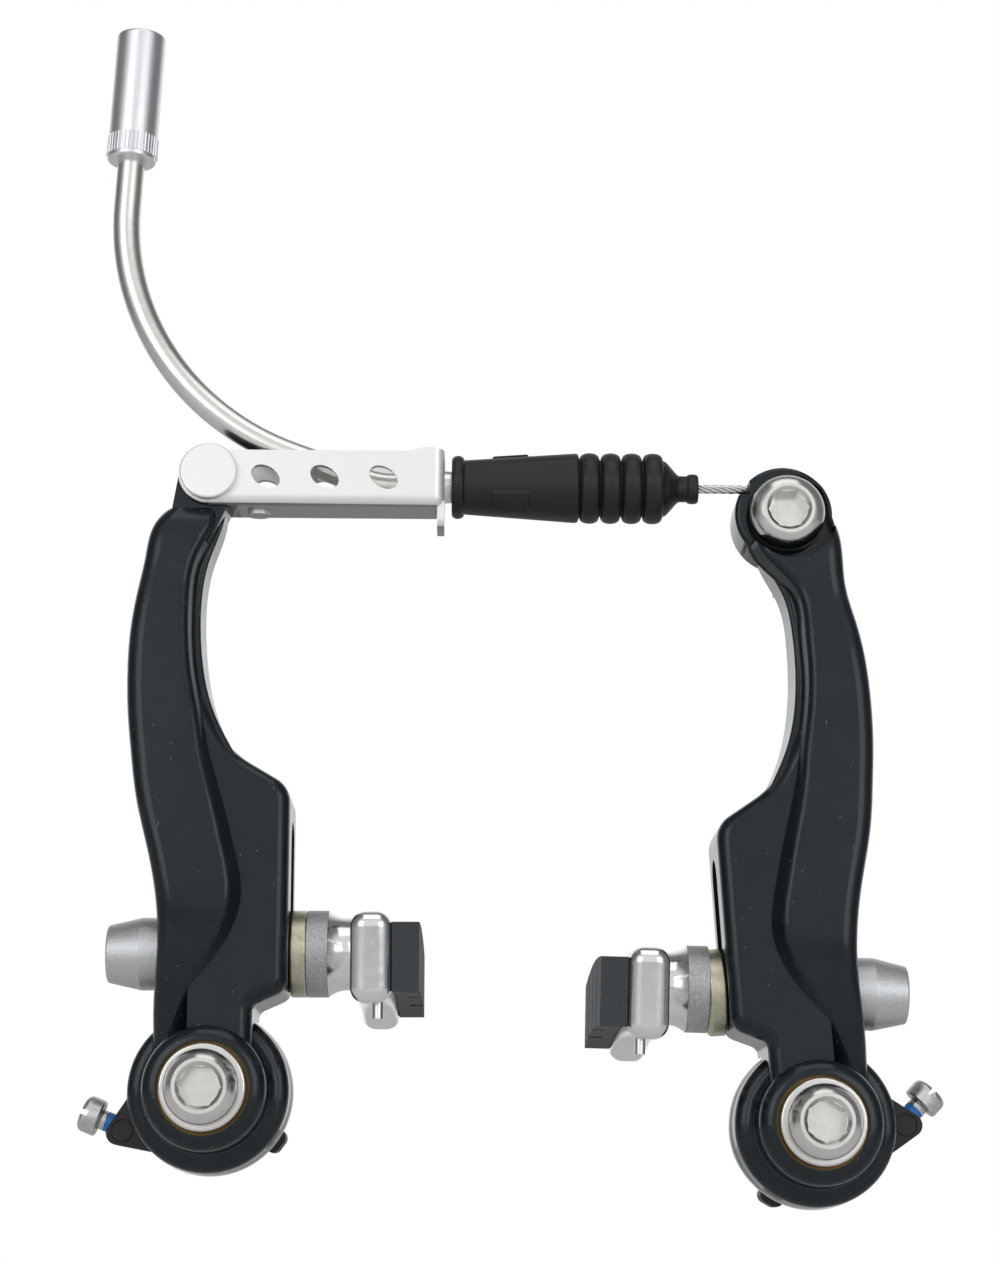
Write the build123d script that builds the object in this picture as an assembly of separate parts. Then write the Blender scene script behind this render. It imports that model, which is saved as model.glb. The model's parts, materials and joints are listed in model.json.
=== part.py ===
from build123d import *
import math
import os

# Linear-pull bicycle brake. Millimetres, +Z up. The origin lies midway between the two pivot
# axes, in the plane of the frame bosses. The front of the brake faces -Y and the bosses are behind.
# Each arm is modelled upright at the origin, with x towards the rim, and is then leaned on its pivot.
# The cable's pieces are modelled from the link's rivet, with x along the wire, and are then raised.

# Stance
pivot_half_span = 48.75
arm_lean = {"left": -3.2, "right": 6.5}
cable_rise = 2.85
cable_y = -11.5

# Fits between pieces
running_fit = 0.05
side_play = 0.3
end_play = 0.2
cut_past = 1.0

# Pivot: sleeve on the frame boss, bush in the arm, washer and bolt
boss_bore_radius = 4.03
sleeve_radius = 5.5
bush_radius = 7.4
bush_setback = 0.9
pivot_length = 21.6
boss_land_length = 8.5
grease_groove_width = 1.0
grease_groove_depth = 0.5
pivot_washer_radius = 6.85
pivot_washer_thick = 1.2
pivot_head_radius = 5.95
pivot_head_height = 4.4
pivot_shank_length = 12.5
bolt_shank_radius = 3.0
bolt_rim = 1.1
socket_across_flats = 6.0
socket_depth = 3.4

# Spring housing behind each hub
holder_thick = 5.3
holder_radius = 12.8
plate_thick = 0.35
plate_radius = 13.3
lug_reach = 18.3
lug_angle = 206.0
lug_nose_radius = 1.9
lug_flank = 11.0
holder_turn = {"left": 0.0, "right": 30.0}
tab_angle = 327.0
tab_reach = 14.2
tab_width = 4.0
screw_offset = 10.6
screw_rise = 19.0
screw_radius = 1.5
screw_head_radius = 3.0
screw_head_height = 3.2
screw_shows = 1.9
screw_length = 9.0
screw_slot_width = 0.9
screw_slot_depth = 1.3
spring_wire_radius = 0.75
spring_turns = 2.5
spring_pitch = 1.7
spring_leg_length = 2.0

# Arm hub
hub_radius = 13.0
hub_shoulder_depth = 7.4
boss_radius = 9.9
spring_well_inner = 8.7
spring_well_outer = 11.1
spring_well_depth = 5.95

# Arm body
arm_rear = -0.8
wing_front = -18.3
web_face = 12.7
web_thick = 7.6
wing_top = 64.0
wing_foot = 5.0
shoulder_height = 48.6
lip_height = 15.6
neck_edge = 7.2
slot_low = 16.0
slot_high = 44.0
slot_width = 6.8
nut_well_low = 13.6
nut_well_high = 46.0
wing_edge_round = 2.2
rear_edge_round = 0.8

# Arm tops
anchor_in = -3.6
anchor_up = 101.0
rivet_in = -1.8
rivet_over_anchor = 0.75
eye_radius = 5.1
eye_thick = 7.4
head_radius = 8.2
head_offset_in = 0.5
head_thick = 8.7
head_rear = -5.2
seat_radius = 7.6
seat_offset_in = -1.1
seat_offset_up = -0.9

# Cable and its anchor
wire_radius = 0.75
anchor_washer_radius = 6.2
anchor_washer_thick = 0.9
anchor_head_radius = 6.4
anchor_head_height = 4.6
anchor_shank_length = 8.3
wire_bed = 0.25
wire_clear = 1.0
tail_turn_out = 5.2
tail_rear = -3.6
tail_bend = 1.9
tail_end_in = -2.0
tail_drop = 12.0

# Cable link, folded from sheet
link_sheet = 1.2
link_length = 39.4
link_above = 4.0
link_below = 5.4
link_flare_start = 33.0
link_flare = 0.8
link_floor_start = 4.9
link_lip_drop = 3.3
link_bend = 1.8
link_window_first = 9.5
link_window_pitch = 9.85
link_window_count = 3
link_window_long = 2.6
link_window_short = 1.75
link_window_lean = -32.0
link_window_drop = 0.6
link_slit = 2.2
rivet_radius = 2.2
rivet_head_radius = 4.75
rivet_head_thick = 1.3
stop_pip_radius = 1.9
stop_pip_height = 0.6
stop_pip_along = 8.2

# Noodle
noodle_radius = 2.35
noodle_bore = 1.1
noodle_nose = 9.0
nose_bend = 12.0
nose_turn = 20.0
noodle_slope = 13.5
noodle_bend = 45.0
noodle_turn = 72.5
noodle_stem = 8.6
tip_shoulder_radius = 3.25
tip_shoulder_length = 3.0
tip_nose_radius = 2.85
tip_nose_length = 6.4
ferrule_radius = 4.25
ferrule_length = 23.5
ferrule_band_radius = 4.4
ferrule_band_length = 3.4
ferrule_band_from = 0.9
ferrule_socket_radius = 2.6
ferrule_socket_depth = 15.0
band_tooth_count = 40
band_tooth_depth = 0.25

# Boot
boot_gap = 1.2
boot_length = 41.8
boot_bead_radius = 5.35
boot_bead_length = 2.1
boot_start_radius = 4.6
boot_end_radius = 5.9
boot_body_length = 19.6
boot_rib_count = 4
boot_rib_pitch = 3.56
boot_rib_radius = 6.0
boot_groove_radius = 4.75
boot_neck_radius = 2.2
boot_neck_length = 1.6
boot_tail_bead_radius = 2.55
boot_tail_bead_length = 2.0
boot_wall = 1.4
boot_wire_hole = 0.95
boot_grip_length = 6.4
boot_grip_width = 3.4
boot_grip_proud = 0.45

# Brake pads and their ball seats
post_y = -8.0
post_up = 22.3
post_radius = 3.0
pad_tilt = {"left": 0.0, "right": -5.0}
seat_ball_radius = 9.5
ball_washer_radius = 7.05
ball_washer_hole = 4.3
cup_start = 6.6
cup_back = 10.0
cup_hole_play = 0.1
nut_radius = 5.9
nut_end_radius = 4.65
nut_length = 16.0
nut_taper = 5.5
nut_thread_depth = 9.0
nut_socket_across_flats = 5.0
nut_socket_depth = 5.0
stud_in_nut = 8.5
wheel_radius = 275.0
pad_drop = 2.0
pad_half_length = 28.5
pad_forward = 2.0
holder_boss_radius = 7.0
holder_waist_radius = 5.9
holder_boss_length = 4.6
holder_depth = 6.4
holder_half_height = 7.0
holder_wall = 2.1
holder_end_wall = 3.2
holder_corner = 2.4
holder_end_round = 2.3
insert_half_height = 4.9
insert_proud = 4.2
insert_above = 5.4
insert_below = 5.2
insert_setback = 1.5
insert_groove_width = 1.6
insert_groove_depth = 2.2
insert_groove_pitch = 13.0
insert_groove_count = 3
pin_radius = 0.8
pin_from_end = 5.0
pin_below = 3.6

# Stations of the arm's spine from the hub up: height, outer edge, ridge, foot of the ridge,
# inner rail, then the depths of the front face, of the rail and of the rear face. Below the
# shoulder the height is in millimetres; above it, it is a share of the way to the cable anchor.
low_stations = [
    (5.0, -9.2, -5.4, -3.0, 6.8, -15.6, -13.8, -4.2),
    (12.0, -8.8, -4.8, -2.0, 7.0, -17.2, -15.2, -3.0),
    (18.0, -8.4, -2.4, 0.4, 8.0, -19.4, -17.0, -1.4),
    (25.0, -8.1, 1.7, 3.9, 9.0, -20.9, -18.0, -0.8),
    (31.0, -8.6, 3.4, 5.2, 9.4, -21.4, -18.2, -0.8),
    (38.0, -10.0, 2.3, 4.0, 9.0, -21.5, -18.2, -0.8),
    (46.0, -12.0, 0.3, 2.0, 7.4, -21.3, -18.1, -0.9),
]
high_stations = [
    (0.102, -13.2, -1.7, -0.2, 3.6, -20.8, -17.8, -1.3),
    (0.216, -13.9, -2.7, -1.3, 0.45, -20.3, -17.2, -1.9),
    (0.348, -14.3, -4.0, -2.8, -1.7, -19.6, -16.2, -2.8),
    (0.480, -14.2, -4.7, -3.6, -2.6, -18.9, -15.2, -3.7),
    (0.612, -13.4, -4.8, -3.7, -2.7, -18.1, -14.3, -4.6),
    (0.745, -12.2, -3.7, -2.6, -1.6, -17.3, -13.5, -5.4),
]
end_stations = {
    "left": (0.905, -9.0, -1.2, -0.3, 0.9, -15.3, -13.6, -7.4),
    "right": (1.0, -10.9, -3.6, -2.4, -1.2, -14.2, -12.4, -6.0),
}
spine_rounds = (1.6, 2.6, 1.5, 0.5, 0.5, 0.8)


def arm_place(side, inward, up):
    """Place in the brake, as (x, z), of a point given in one arm's own frame."""
    turn = math.radians(arm_lean[side])
    across = inward * math.cos(turn) + up * math.sin(turn)
    height = up * math.cos(turn) - inward * math.sin(turn)
    if side == "left":
        return (across - pivot_half_span, height)
    return (pivot_half_span - across, height)


def to_cable(place):
    """Place in the cable's frame, as (along, up), of a point of the brake."""
    turn = math.radians(cable_rise)
    right = place[0] - rivet_x
    high = place[1] - rivet_z
    return (right * math.cos(turn) + high * math.sin(turn), high * math.cos(turn) - right * math.sin(turn))


# Places that follow from the sizes above
hub_rear = -(holder_thick + plate_thick + end_play)
hub_front = -(pivot_length - end_play)
washer_front = -(pivot_length + pivot_washer_thick)
ball_centre_in = web_face - web_thick / 2
rivet_up = anchor_up + rivet_over_anchor
upper_length = anchor_up - shoulder_height
left_top = shoulder_height + end_stations["left"][0] * upper_length
rivet_x, rivet_z = arm_place("left", rivet_in, rivet_up)
anchor_along, anchor_across = to_cable(arm_place("right", anchor_in, anchor_up))
wire_over_bolt = bolt_shank_radius + wire_radius + wire_clear
wire_up = anchor_across + wire_over_bolt
link_gap = eye_thick + 2 * side_play
seat_y = cable_y - wire_bed
clamp_front = cable_y - wire_radius
clamp_along = anchor_along - anchor_washer_radius
boot_start = link_length + boot_gap
wire_split = boot_start + boot_length / 2
tube_in_ferrule = ferrule_length - ferrule_socket_depth - 1.5


def rod_y(radius, front, rear):
    """Round bar along Y between two depths."""
    return Pos(0, (front + rear) / 2, 0) * Rot(90, 0, 0) * Cylinder(radius, rear - front)


def rod_x(radius, low, high):
    """Round bar along X between two places."""
    return Pos((low + high) / 2, 0, 0) * Rot(0, 90, 0) * Cylinder(radius, high - low)


def turned_y(corners, rounds):
    """Piece turned about the Y axis from (radius, depth) corners, each with its own rounding."""
    return revolve(make_face(FilletPolyline(*corners, radius=rounds, close=True)), axis=Axis.Y)


def turned_x(corners, rounds):
    """Piece turned about the X axis from (place, radius) corners, each with its own rounding."""
    return revolve(make_face(FilletPolyline(*corners, radius=rounds, close=True)), axis=Axis.X)


def on_arm(side, shape):
    """Take a shape from the upright arm's frame to its own side of the brake."""
    if side == "left":
        return Pos(-pivot_half_span, 0, 0) * Rot(0, arm_lean[side], 0) * shape
    return Pos(pivot_half_span, 0, 0) * Rot(0, -arm_lean[side], 0) * mirror(shape, about=Plane.YZ)


def on_cable(shape):
    """Take a shape from the cable's frame to its place in the brake."""
    return Pos(rivet_x, 0, rivet_z) * Rot(0, -cable_rise, 0) * shape


def on_boss(side, shape):
    """Take a shape from the left boss's own frame to its side; the right one is mirrored."""
    if side == "left":
        return Pos(-pivot_half_span, 0, 0) * shape
    turned = Rot(0, -holder_turn[side], 0) * mirror(shape, about=Plane.YZ)
    return Pos(pivot_half_span, 0, 0) * turned


def hex_socket(across_flats, depth):
    """Hexagonal cutter standing on the XY plane."""
    return extrude(RegularPolygon(across_flats / 2, 6, major_radius=False), depth)


def socket_bolt(head_radius, head_height, seat, shank_length):
    """Domed socket-head bolt along Y: the head's underside is at seat, its dome faces -Y."""
    crown = seat - head_height
    flat_radius = socket_across_flats * 0.72
    profile = [
        Line((0, seat), (head_radius, seat)),
        Line((head_radius, seat), (head_radius, seat - bolt_rim)),
        ThreePointArc(
            (head_radius, seat - bolt_rim),
            (head_radius * 0.93, seat - bolt_rim - (head_height - bolt_rim) * 0.55),
            (flat_radius, crown),
        ),
        Line((flat_radius, crown), (0, crown)),
        Line((0, crown), (0, seat)),
    ]
    head = revolve(make_face(Curve() + profile), axis=Axis.Y)
    socket = Pos(0, crown, 0) * Rot(-90, 0, 0) * hex_socket(socket_across_flats, socket_depth)
    mouth = socket_across_flats * 0.5 + 0.75
    chamfer_depth = 0.6
    lead_in = Pos(0, crown + chamfer_depth / 2, 0) * Rot(90, 0, 0) * Cone(
        mouth - chamfer_depth, mouth, chamfer_depth
    )
    shank = rod_y(bolt_shank_radius, seat, seat + shank_length)
    tip = shank.edges().sort_by(Axis.Y)[-1]
    return head - socket - lead_in + chamfer(tip, 0.6)


def spine_section(station):
    """One cross-section of the spine, with its ridge and the lower rail beside it."""
    height, outer, ridge, foot, rail, front, step, rear = station
    corners = [(outer, rear), (outer, front), (ridge, front), (foot, step), (rail, step), (rail, rear)]
    outline = FilletPolyline(*corners, radius=spine_rounds, close=True)
    return Plane.XY.offset(height) * make_face(outline)


def hub():
    """Turned hub: a wide shoulder over the spring, a narrower boss in front of it."""
    shoulder = hub_rear - hub_shoulder_depth
    core = bush_radius - 2 * cut_past
    corners = [
        (core, hub_rear),
        (hub_radius, hub_rear),
        (hub_radius, shoulder),
        (boss_radius, shoulder - 0.6),
        (boss_radius, hub_front),
        (core, hub_front),
    ]
    return turned_y(corners, [0.2, 0.6, 1.9, 1.7, 2.4, 0.2])


def wing():
    """Plate beside the spine: it rises from the hub, carries the pad slot and fades into the rail."""
    free_edge = [
        (-2.2, wing_top),
        (2.6, 54.6),
        (web_face, shoulder_height),
        (web_face, lip_height),
        (neck_edge, lip_height - 2.4),
        (neck_edge, wing_foot),
    ]
    hidden_edge = [free_edge[-1], (-3.0, wing_foot), (-3.0, wing_top), free_edge[0]]
    rounds = [14.0, 4.5, 2.8, 1.6]
    line = Curve() + [FilletPolyline(*free_edge, radius=rounds), Polyline(*hidden_edge)]
    outline = make_face(line)
    plate = extrude(Plane.XZ.offset(-arm_rear) * outline, arm_rear - wing_front)
    front_edges = plate.edges().group_by(Axis.Y)[0]
    plate = fillet([edge for edge in front_edges if on_free_edge(edge)], wing_edge_round)
    rear_edges = plate.edges().group_by(Axis.Y)[-1]
    return fillet([edge for edge in rear_edges if on_free_edge(edge)], rear_edge_round)


def on_free_edge(edge):
    """Whether an edge of the wing stays outside the spine and the hub."""
    middle = edge.center()
    return middle.X > 0 and middle.Z > 6


def spine(side):
    """Lofted spine of one arm, from inside the hub to its top."""
    sections = [spine_section(station) for station in low_stations]
    for station in high_stations + [end_stations[side]]:
        height = shoulder_height + station[0] * upper_length
        sections.append(spine_section((height,) + station[1:]))
    return loft(sections)


def arm_blank(side):
    """Spine, wing and hub in one forging, with the nut well, pad slot and pivot bore cut."""
    blank = spine(side) + wing() + hub()
    well_front = post_y - ball_washer_radius - side_play
    well_inner = web_face - web_thick
    well_height = nut_well_high - nut_well_low
    well_depth = cut_past - well_front
    well = Box(2 * hub_radius, well_depth, well_height)
    well = fillet(well.edges().filter_by(Axis.Y), 0.8)
    well = Pos(
        well_inner - hub_radius, well_front + well_depth / 2, (nut_well_low + nut_well_high) / 2
    ) * well
    slot_span = slot_high - slot_low
    slot = Plane.YZ * SlotOverall(slot_span, slot_width, rotation=90)
    slot = extrude(slot, web_face + cut_past)
    slot = Pos(0, post_y, (slot_low + slot_high) / 2) * slot
    housing_room = rod_y(plate_radius + side_play, hub_rear, cut_past)
    bore = rod_y(bush_radius, hub_front - cut_past, cut_past)
    spring_well = rod_y(spring_well_outer, hub_rear - spring_well_depth, cut_past)
    spring_well -= rod_y(spring_well_inner, hub_rear - spring_well_depth, cut_past)
    leg_hole = Pos(0, 0, -spring_mean_radius()) * rod_y(
        spring_wire_radius + running_fit,
        hub_rear - spring_well_depth - spring_leg_length,
        hub_rear,
    )
    leg_hole = Rot(0, holder_turn[side] - arm_lean[side], 0) * leg_hole
    return blank - well - slot - housing_room - bore - spring_well - leg_hole


def spring_mean_radius():
    """Radius of the middle of the spring's wire, midway in its well."""
    return (spring_well_inner + spring_well_outer) / 2


def left_arm():
    """Left arm: ends in a flat eye that the cable link straddles."""
    blank = arm_blank("left")
    eye_foot = left_top - 6.0
    eye_outline = make_hull(
        [
            Pos(rivet_in, rivet_up) * Edge.make_circle(eye_radius),
            Line((-8.9, eye_foot), (-1.6, eye_foot)),
        ]
    )
    eye = extrude(Plane.XZ.offset(-cable_y - eye_thick / 2) * eye_outline, eye_thick)
    rivet_hole = Pos(rivet_in, 0, rivet_up) * rod_y(
        rivet_radius + running_fit, cable_y - eye_thick, cable_y + eye_thick
    )
    return blank + eye - rivet_hole


def right_arm():
    """Right arm: ends in a round head with a recessed seat for the cable anchor."""
    blank = arm_blank("right")
    head_in = anchor_in + head_offset_in
    head = Pos(head_in, 0, anchor_up) * rod_y(head_radius, head_rear - head_thick, head_rear)
    rim_edge = head.edges().sort_by(Axis.Y)[0]
    head = fillet(rim_edge, 0.9)
    seat_in = head_in + seat_offset_in
    seat = Pos(seat_in, 0, anchor_up + seat_offset_up) * rod_y(seat_radius, -3 * head_thick, seat_y)
    thread = Pos(anchor_in, 0, anchor_up) * rod_y(bolt_shank_radius, -3 * head_thick, cut_past)
    groove_width = 2 * (wire_radius + 2 * running_fit)
    groove = Pos(0, seat_y, wire_over_bolt) * Box(
        2 * head_radius, 2 * (wire_radius + wire_bed), groove_width
    )
    entry_width = groove_width + 4 * side_play
    entry_depth = head_thick + wire_radius + side_play
    entry = Pos(
        anchor_washer_radius + head_radius, cable_y + wire_radius + side_play - entry_depth, wire_over_bolt
    ) * Box(2 * head_radius, 2 * entry_depth, entry_width)
    notch_out = tail_turn_out - tail_bend - running_fit
    notch = Pos(-notch_out - head_radius, 0, wire_over_bolt) * Box(
        2 * head_radius, 6 * head_thick, groove_width + 2 * side_play
    )
    level = Pos(anchor_in, 0, anchor_up) * Rot(0, cable_rise - arm_lean["right"], 0)
    return blank + head - seat - thread - level * groove - level * entry - level * notch


def pivot_sleeve():
    """Steel sleeve that slides on the frame boss, with a grease groove inside."""
    sleeve = rod_y(sleeve_radius, -pivot_length, 0) - rod_y(
        boss_bore_radius, -pivot_length - cut_past, cut_past
    )
    groove_front = -boss_land_length - grease_groove_width
    sleeve -= rod_y(boss_bore_radius + grease_groove_depth, groove_front, -boss_land_length)
    return sleeve


def pivot_bush():
    """Brass bush pressed in the arm; it turns on the sleeve."""
    return rod_y(bush_radius, hub_front + bush_setback, hub_rear) - rod_y(
        sleeve_radius + running_fit, hub_front - cut_past, cut_past
    )


def pivot_washer():
    """Flat washer that keeps the arm on its sleeve."""
    washer = rod_y(pivot_washer_radius, washer_front, -pivot_length)
    washer = fillet(washer.edges().sort_by(Axis.Y)[0], 0.35)
    return washer - rod_y(bolt_shank_radius, washer_front - cut_past, 0)


def screw_frame():
    """Place of the tension screw: its origin on the lug's face, its Z axis pointing outwards."""
    out = math.radians(180.0 - screw_rise)
    along = (math.cos(out), math.sin(out))
    foot = (-screw_offset * along[1], screw_offset * along[0])
    face = math.sqrt(lug_reach**2 - screw_offset**2) - 1.4
    origin = (foot[0] + along[0] * face, -holder_thick / 2, foot[1] + along[1] * face)
    return Plane(origin=origin, x_dir=(0, 1, 0), z_dir=(along[0], 0, along[1]))


def spring_holder():
    """Moulded housing behind the hub: a disc with a lug for the tension screw and a stop tab."""
    tip_at = math.radians(lug_angle)
    nose = lug_reach - lug_nose_radius
    outline = make_hull(
        [
            Edge.make_circle(lug_flank),
            Pos(nose * math.cos(tip_at), nose * math.sin(tip_at)) * Edge.make_circle(lug_nose_radius),
        ]
    )
    tab_at = math.radians(tab_angle)
    tab = Pos(tab_reach / 2 * math.cos(tab_at), tab_reach / 2 * math.sin(tab_at)) * (
        Rot(0, 0, tab_angle) * RectangleRounded(tab_reach, tab_width, tab_width / 3)
    )
    body = extrude(Plane.XZ * (outline + Circle(holder_radius) + tab), holder_thick)
    mark_at = (lug_reach + holder_radius) / 2
    mark = Pos(mark_at * math.cos(tip_at), 0, mark_at * math.sin(tip_at)) * (
        rod_y(1.9, -holder_thick - cut_past, -holder_thick + 0.3)
        - rod_y(1.6, -holder_thick - cut_past, -holder_thick + 0.3)
    )
    body -= mark
    body -= rod_y(sleeve_radius, -holder_thick - cut_past, cut_past)
    screw_hole = screw_frame() * Pos(0, 0, -screw_length / 2 + cut_past) * Cylinder(
        screw_radius + running_fit, screw_length + 2 * cut_past
    )
    leg_hole = Pos(0, 0, spring_mean_radius()) * rod_y(
        spring_wire_radius + running_fit, -holder_thick - cut_past, cut_past - holder_thick / 2
    )
    return body - screw_hole - leg_hole


def spring_plate():
    """Thin steel plate between the moulded housing and the arm."""
    disc = rod_y(plate_radius, -holder_thick - plate_thick, -holder_thick)
    disc -= rod_y(sleeve_radius, -holder_thick - plate_thick - cut_past, 0)
    leg_hole = Pos(0, 0, spring_mean_radius()) * rod_y(
        spring_wire_radius + running_fit, -holder_thick - plate_thick - cut_past, 0
    )
    return disc - leg_hole


def return_spring():
    """Torsion spring round the bush: one leg in the arm's hub, the other in the housing."""
    mean = spring_mean_radius()
    coil_height = spring_turns * spring_pitch
    coil_rear = hub_rear - spring_wire_radius - running_fit
    coil = Helix(spring_pitch, coil_height, mean)
    start = coil @ 0
    section = Plane(origin=start, z_dir=coil % 0) * Circle(spring_wire_radius)
    body = sweep(section, path=coil)
    body = Rot(90, 0, 0) * body
    body = Rot(0, -90, 0) * body
    body = Pos(0, coil_rear, 0) * body
    rear_leg = Pos(0, 0, mean) * rod_y(
        spring_wire_radius, coil_rear, -holder_thick + spring_leg_length
    )
    front_leg = Pos(0, 0, -mean) * rod_y(
        spring_wire_radius,
        hub_rear - spring_well_depth - spring_leg_length + running_fit,
        coil_rear - coil_height,
    )
    return body, rear_leg, front_leg


def tension_screw():
    """Slotted screw in the housing's lug that sets the spring's tension."""
    shank = Pos(0, 0, (screw_shows - screw_length) / 2) * Cylinder(
        screw_radius, screw_length + screw_shows
    )
    head = Pos(0, 0, screw_shows + screw_head_height / 2) * Cylinder(
        screw_head_radius, screw_head_height
    )
    head = fillet(head.edges().sort_by(Axis.Z)[-1], 1.1)
    head = fillet(head.edges().sort_by(Axis.Z)[0], 0.3)
    slot = Pos(0, 0, screw_shows + screw_head_height) * Box(
        3 * screw_head_radius, screw_slot_width, 2 * screw_slot_depth
    )
    return screw_frame() * (shank + head - slot)


def at_post(side, shape, tilted=True):
    """Take a shape from the ball seat's frame to the pad slot of its arm."""
    turn = pad_tilt[side] if tilted else 0.0
    return on_arm(side, Pos(ball_centre_in, post_y, post_up) * Rot(0, turn, 0) * shape)


def ball_line(radius, low, high):
    """Arc of the ball seat's sphere between two distances from the post, in the turning plane."""
    middle = (low + high) / 2
    points = [(math.sqrt(radius**2 - off**2), off) for off in (low, middle, high)]
    return ThreePointArc(*points)


def ball_washer():
    """Washer with one flat face on the web and one spherical face."""
    face = ball_line(seat_ball_radius, ball_washer_hole, ball_washer_radius)
    rest = [face @ 1, (web_thick / 2, ball_washer_radius), (web_thick / 2, ball_washer_hole), face @ 0]
    blank = revolve(make_face(Curve() + [face, Polyline(*rest)]), axis=Axis.X)
    rims = blank.edges().filter_by(GeomType.CIRCLE)
    outer_rims = [rim for rim in rims if rim.radius > ball_washer_radius - 0.1]
    return fillet(outer_rims, 0.5)


def cup_washer():
    """Washer with a hollow face that rides on the ball washer."""
    radius = seat_ball_radius + running_fit
    hole = post_radius + cup_hole_play
    face = ball_line(radius, hole, math.sqrt(radius**2 - cup_start**2))
    rest = [
        face @ 1,
        (cup_start, ball_washer_radius),
        (cup_back, ball_washer_radius),
        (cup_back, hole),
        face @ 0,
    ]
    return revolve(make_face(Curve() + [face, Polyline(*rest)]), axis=Axis.X)


def outboard(shape):
    """The same piece on the outer side of the web."""
    return mirror(shape, about=Plane.YZ)


def pad_nut():
    """Long tapered sleeve nut with a hexagon socket in its end."""
    end = -cup_back - nut_length
    corners = [
        (-cup_back, 0),
        (-cup_back, nut_radius),
        (end + nut_taper, nut_radius),
        (end, nut_end_radius),
        (end, 0),
    ]
    nut = revolve(make_face(Polyline(*corners, close=True)), axis=Axis.X)
    end_rim = nut.edges().filter_by(GeomType.CIRCLE).sort_by(Axis.X)[0]
    nut = fillet(end_rim, 0.4)
    nut -= rod_x(post_radius + running_fit, -cup_back - nut_thread_depth, 0)
    socket = Pos(end, 0, 0) * Rot(0, 90, 0) * hex_socket(nut_socket_across_flats, nut_socket_depth)
    return nut - socket


def pad_stud():
    """Threaded post, riveted in the pad holder."""
    post = rod_x(post_radius, -cup_back - stud_in_nut, holder_back() + holder_wall)
    return chamfer(post.edges().sort_by(Axis.X)[0], 0.5)


def holder_back():
    """Place of the pad holder's back face along the post."""
    return cup_back + running_fit + holder_boss_length


def wheel_axis():
    """Axis that the pads curve about: the wheel's, far below the brake."""
    return Axis((0, 0, -pad_drop - wheel_radius), (1, 0, 0))


def along_rim(section, rear_cut, front_cut):
    """Sweep an x-z section along the rim, shortened at its rear and front ends."""
    start = -math.degrees((pad_half_length - pad_forward - rear_cut) / wheel_radius)
    arc = math.degrees((2 * pad_half_length - rear_cut - front_cut) / wheel_radius)
    swept = revolve(Plane.XZ * section, axis=wheel_axis(), revolution_arc=arc)
    return swept.rotate(wheel_axis(), start)


def insert_section():
    """The part of the rubber that slides in the holder."""
    back = holder_back() + holder_wall
    return Pos(back + (holder_depth - holder_wall) / 2, -pad_drop) * Rectangle(
        holder_depth - holder_wall, 2 * insert_half_height
    )


def pin_rod():
    """Retaining pin's bar, near the front end of the pad."""
    along = (holder_back() + holder_wall + holder_back() + holder_depth) / 2
    front = -pad_half_length - pad_forward + pin_from_end
    top = holder_half_height - pad_drop - 1.8
    bottom = -holder_half_height - pad_drop - pin_below
    return Pos(along, front, (top + bottom) / 2) * Cylinder(pin_radius, top - bottom)


def pad_holder():
    """Cast holder: a curved channel closed at the front, with a round boss for the stud."""
    back = holder_back()
    face = back + holder_depth
    shell = Pos((back + face) / 2, -pad_drop) * RectangleRounded(
        holder_depth, 2 * holder_half_height, holder_corner
    )
    body = along_rim(shell, 0, 0)
    body = fillet(body.faces().sort_by(Axis.Y)[0].edges(), holder_end_round)
    boss_start = cup_back + running_fit
    waist = (boss_start + back) / 2 + 0.5
    boss_line = [
        Line((boss_start, 0), (boss_start, holder_boss_radius)),
        ThreePointArc(
            (boss_start, holder_boss_radius),
            (waist, holder_waist_radius),
            (back + 1.0, holder_boss_radius - 0.4),
        ),
        Line((back + 1.0, holder_boss_radius - 0.4), (back + 1.0, 0)),
        Line((back + 1.0, 0), (boss_start, 0)),
    ]
    boss = revolve(make_face(Curve() + boss_line), axis=Axis.X)
    body += boss
    body -= along_rim(insert_section(), -cut_past, holder_end_wall)
    body -= rod_x(post_radius, 0, back + holder_wall)
    return body - pin_rod()


def pad_insert():
    """Rubber block: it fills the holder's channel and stands proud towards the rim."""
    face = holder_back() + holder_depth
    proud = Pos(face + insert_proud / 2, -pad_drop + (insert_above - insert_below) / 2) * Rectangle(
        insert_proud, insert_above + insert_below
    )
    block = along_rim(insert_section(), 0, holder_end_wall)
    block += along_rim(proud, insert_setback, insert_setback)
    for index in range(insert_groove_count):
        place = (index - (insert_groove_count - 1) / 2) * insert_groove_pitch + pad_forward
        groove = Pos(face + insert_proud, 0, -pad_drop) * Box(
            2 * insert_groove_depth, insert_groove_width, 4 * insert_above
        )
        block -= groove.rotate(wheel_axis(), math.degrees(place / wheel_radius))
    return block - pin_rod()


def link_window(index):
    """One slanted lens-shaped window of the cable link, as a cutter along Y."""
    along = link_window_first + index * link_window_pitch
    lens = Rot(0, 0, link_window_lean) * Ellipse(link_window_long, link_window_short)
    return extrude(Plane.XZ * (Pos(along, -link_window_drop) * lens), 4 * link_gap, both=True)


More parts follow.
